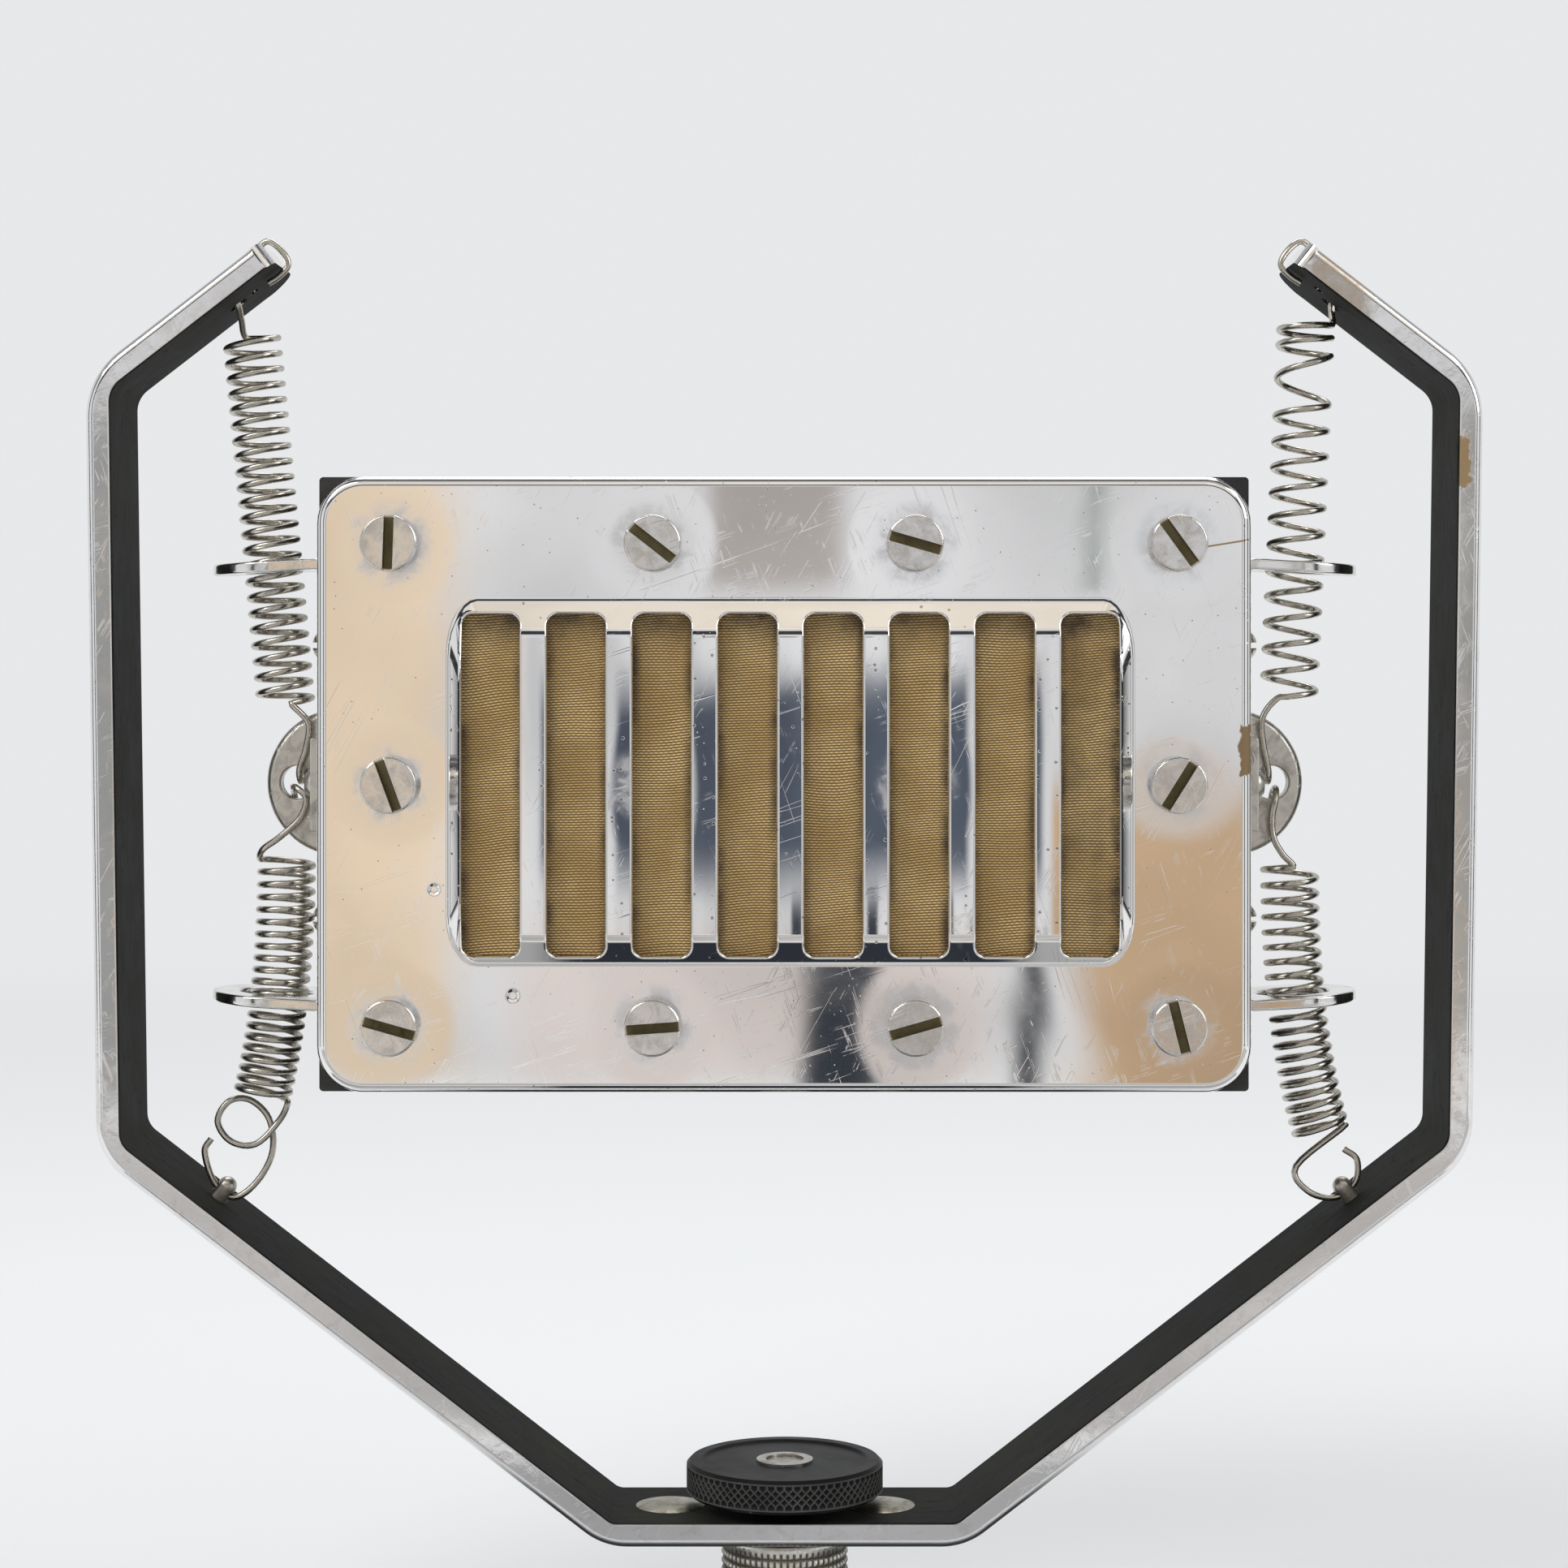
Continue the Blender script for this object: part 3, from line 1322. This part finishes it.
makeKnob()
makeSleeve()
makeThumbNut(-1, "left_thumb_nut", "thumb_nut_left", "nut_left")
makeThumbNut(1, "right_thumb_nut", "thumb_nut_right", "nut_right")
print("knurled pieces made")

# CAD nodes that stay, in their own finishes

for node, look in {
    "clamp_stud": "bush",
    "knob_bush": "bush",
    "eye_stud_left": "stud",
    "eye_stud_right": "stud",
    "spacer_frame": "block",
    "membrane": "membrane",
    "carbon_granules": "carbon",
    "electrode_left": "carbon",
    "electrode_right": "carbon",
}.items():
    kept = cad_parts[node]
    kept.data.materials.clear()
    kept.data.materials.append(looks[look])

# floor, world, cards, lamps and camera

studio = {
    "paper": rgb(0.80, 0.81, 0.82),
    "floorPaper": rgb(0.78, 0.79, 0.8),
    "floorRadius": 4.0,
    "floorFade": (0.3, 1.1),  # where the floor passes into the paper behind it
    "fill": 0.55,
    "ceiling": rgb(0.40, 0.41, 0.43),
    "ceilingFade": (0.1, 0.75),
    "lamps": [
        {"name": "key", "place": (-0.75, -0.75, 1.0), "size": 0.7, "power": 9.0},
        {"name": "fill", "place": (0.95, -0.45, 0.65), "size": 0.8, "power": 4.5},
        {"name": "top", "place": (0.1, 0.5, 1.2), "size": 0.9, "power": 7.0},
    ],
    "camera": {
        "place": (0.0019, -0.452, 0.13435),
        "lens": 80.12,
        "sensor": 36,
        "shift": (-0.0098, -0.0973),
        "near": 0.01,
    },
}

# cards that only polished metal sees:
# middle, turn in degrees (tilt, then round the upright), size, soft edge and colour
cards = {
    "wall": ((0.0, -0.560, 0.30), (90, 0), (1.4, 0.60), 0.02, (0.78, 0.79, 0.82)),
    "rosy_low": ((-0.012, -0.559, 0.030), (90, 0), (0.15, 0.06), 0.02, (0.78, 0.71, 0.69)),
    "warm_left": ((-0.135, -0.558, 0.11), (90, 0), (0.10, 0.22), 0.02, (0.86, 0.70, 0.53)),
    "warm_right": ((0.130, -0.557, 0.035), (90, 0), (0.12, 0.13), 0.02, (0.62, 0.44, 0.285)),
    "grey_high": ((-0.005, -0.556, 0.175), (90, 0), (0.052, 0.07), 0.012, (0.44, 0.41, 0.40)),
    "slate_middle": ((0.003, -0.555, 0.093), (90, 0), (0.13, 0.075), 0.02, (0.09, 0.11, 0.15)),
    "slate_stand": ((0.014, -0.554, 0.030), (90, 0), (0.030, 0.07), 0.008, (0.04, 0.05, 0.065)),
    "slate_post": ((0.065, -0.553, 0.026), (90, 0), (0.014, 0.06), 0.007, (0.03, 0.035, 0.045)),
    "green_strip": ((0.083, -0.552, 0.17), (90, 0), (0.010, 0.05), 0.006, (0.26, 0.30, 0.29)),
    "flag_left_front": ((-0.42, -0.46, 0.30), (90, -45), (0.10, 0.60), 0.02, (0.03, 0.035, 0.04)),
    "flag_left": ((-0.62, -0.10, 0.30), (90, -85), (0.16, 0.60), 0.03, (0.04, 0.045, 0.05)),
    "flag_right_front": ((0.42, -0.46, 0.30), (90, 45), (0.10, 0.60), 0.02, (0.03, 0.035, 0.04)),
    "flag_right": ((0.62, -0.10, 0.30), (90, 85), (0.16, 0.60), 0.03, (0.04, 0.045, 0.05)),
    "grey_left": ((-0.200, -0.551, 0.10), (90, 0), (0.09, 0.22), 0.02, (0.36, 0.37, 0.37)),
    "grey_right": ((0.203, -0.550, 0.11), (90, 0), (0.08, 0.20), 0.02, (0.40, 0.39, 0.37)),
    "flag_above_front": ((0, -0.50, 0.31), (70, 0), (1.0, 0.11), 0.02, (0.05, 0.05, 0.055)),
    "cream_above": ((0, -0.40, 0.48), (48, 0), (0.9, 0.24), 0.03, (0.95, 0.87, 0.76)),
    "flag_above": ((0, -0.10, 0.66), (12, 0), (1.0, 0.20), 0.04, (0.05, 0.05, 0.055)),
    "slate_below": ((0, -0.062, 0.03), (0, 0), (0.076, 0.05), 0.008, (0.03, 0.035, 0.045)),
    "grey_before_foot": ((0, -0.085, 0.003), (0, 0), (0.30, 0.09), 0.015, (0.45, 0.45, 0.465)),
    "grey_before_arms": ((0, -0.320, 0.002), (0, 0), (0.90, 0.38), 0.03, (0.60, 0.585, 0.58)),
    "dark_under_foot": ((0, 0.020, 0.004), (0, 0), (0.12, 0.10), 0.02, (0.05, 0.05, 0.055)),
}


def mixShaders(tree, factor, first, second):
    both = put(tree, "MixShader", {0: factor, 1: first.outputs[0], 2: second.outputs[0]})
    put(tree, "OutputMaterial", {"Surface": both.outputs[0]})


def makeCard(name, place, lean, size, soft, colour):
    bpy.ops.object.select_all(action="DESELECT")
    bpy.ops.mesh.primitive_plane_add(size=1, location=place, rotation=lean)
    card = started("card_" + name)
    card.scale = (*size, 1)
    look, tree = emptyLook("card " + name)
    card.data.materials.append(look)
    ways = split(tree, put(tree, "TexCoord").outputs["Object"])
    inside = 1.0
    for axis in (0, 1):
        off = calc(tree, "ABSOLUTE", ways[axis])
        inside = times(tree, inside, step(tree, off, 0.5 - soft / size[axis], 0.5, 1.0, 0.0))
    # hung paper is never quite even
    uneven = step(tree, noise(tree, put(tree, "NewGeometry").outputs["Position"], 11.0), 0.3, 0.7)
    darker, paler = [rgb(*[part * c for c in colour]) for part in (0.78, 1.08)]
    glow = put(tree, "Emission", {"Color": tint(tree, uneven, darker, paler)})
    mixShaders(tree, inside, put(tree, "BsdfTransparent"), glow)
    card.visible_camera = False
    card.visible_diffuse = False
    card.visible_transmission = False
    card.visible_shadow = False


def makeWorld():
    # plain pale paper all round, a little darker overhead where polished metal mirrors it
    world = bpy.data.worlds.new("studio")
    bpy.context.scene.world = world
    world.use_nodes = True
    tree = world.node_tree
    tree.nodes.clear()
    rays = put(tree, "LightPath").outputs
    up = split(tree, put(tree, "TexCoord").outputs["Generated"])[2]
    mirrored = tint(tree, step(tree, up, *studio["ceilingFade"]), studio["paper"], studio["ceiling"])
    colour = tint(tree, rays["Is Glossy Ray"], studio["paper"], mirrored)
    direct = most(tree, rays["Is Camera Ray"], rays["Is Transmission Ray"], rays["Is Glossy Ray"])
    strength = step(tree, direct, 0.0, 1.0, studio["fill"], 1.0)
    ground = put(tree, "Background", {"Color": colour, "Strength": strength})
    put(tree, "OutputWorld", {"Surface": ground.outputs[0]})


def makeFloor():
    bpy.ops.object.select_all(action="DESELECT")
    bpy.ops.mesh.primitive_circle_add(
        vertices=96, radius=studio["floorRadius"], fill_type="NGON", location=(0, 0, 0)
    )
    floor = started("studio_floor")
    look, tree = emptyLook("floor paper")
    floor.data.materials.append(look)
    away = vectorCalc(tree, "LENGTH", put(tree, "TexCoord").outputs["Object"], output="Value")
    matt = {"Base Color": studio["floorPaper"], "Roughness": 0.9, "Specular IOR Level": 0.1}
    paper = put(tree, "BsdfPrincipled", matt)
    glow = put(tree, "Emission", {"Color": studio["paper"]})
    mixShaders(tree, step(tree, away, *studio["floorFade"]), paper, glow)


def makeLamps():
    for lamp in studio["lamps"]:
        bpy.ops.object.select_all(action="DESELECT")
        bpy.ops.object.light_add(type="AREA", location=lamp["place"])
        made = started("lamp_" + lamp["name"])
        made.data.size = lamp["size"]
        made.data.energy = lamp["power"]
        aim = Vector((0, 0, headMiddle)) - Vector(lamp["place"])
        made.rotation_euler = aim.to_track_quat("-Z", "Y").to_euler()


def makeCamera():
    view = studio["camera"]
    bpy.ops.object.select_all(action="DESELECT")
    bpy.ops.object.camera_add(location=view["place"], rotation=(math.pi / 2, 0, 0))
    camera = bpy.context.object
    camera.data.sensor_width = view["sensor"]
    camera.data.lens = view["lens"]
    camera.data.shift_x, camera.data.shift_y = view["shift"]
    camera.data.clip_start = view["near"]
    bpy.context.scene.camera = camera


makeWorld()
makeFloor()
for name, (place, turn, size, soft, colour) in cards.items():
    makeCard(name, place, (math.radians(turn[0]), 0, math.radians(turn[1])), size, soft, colour)
makeLamps()
makeCamera()
bpy.context.scene.view_settings.view_transform = "Standard"
print("studio set up")
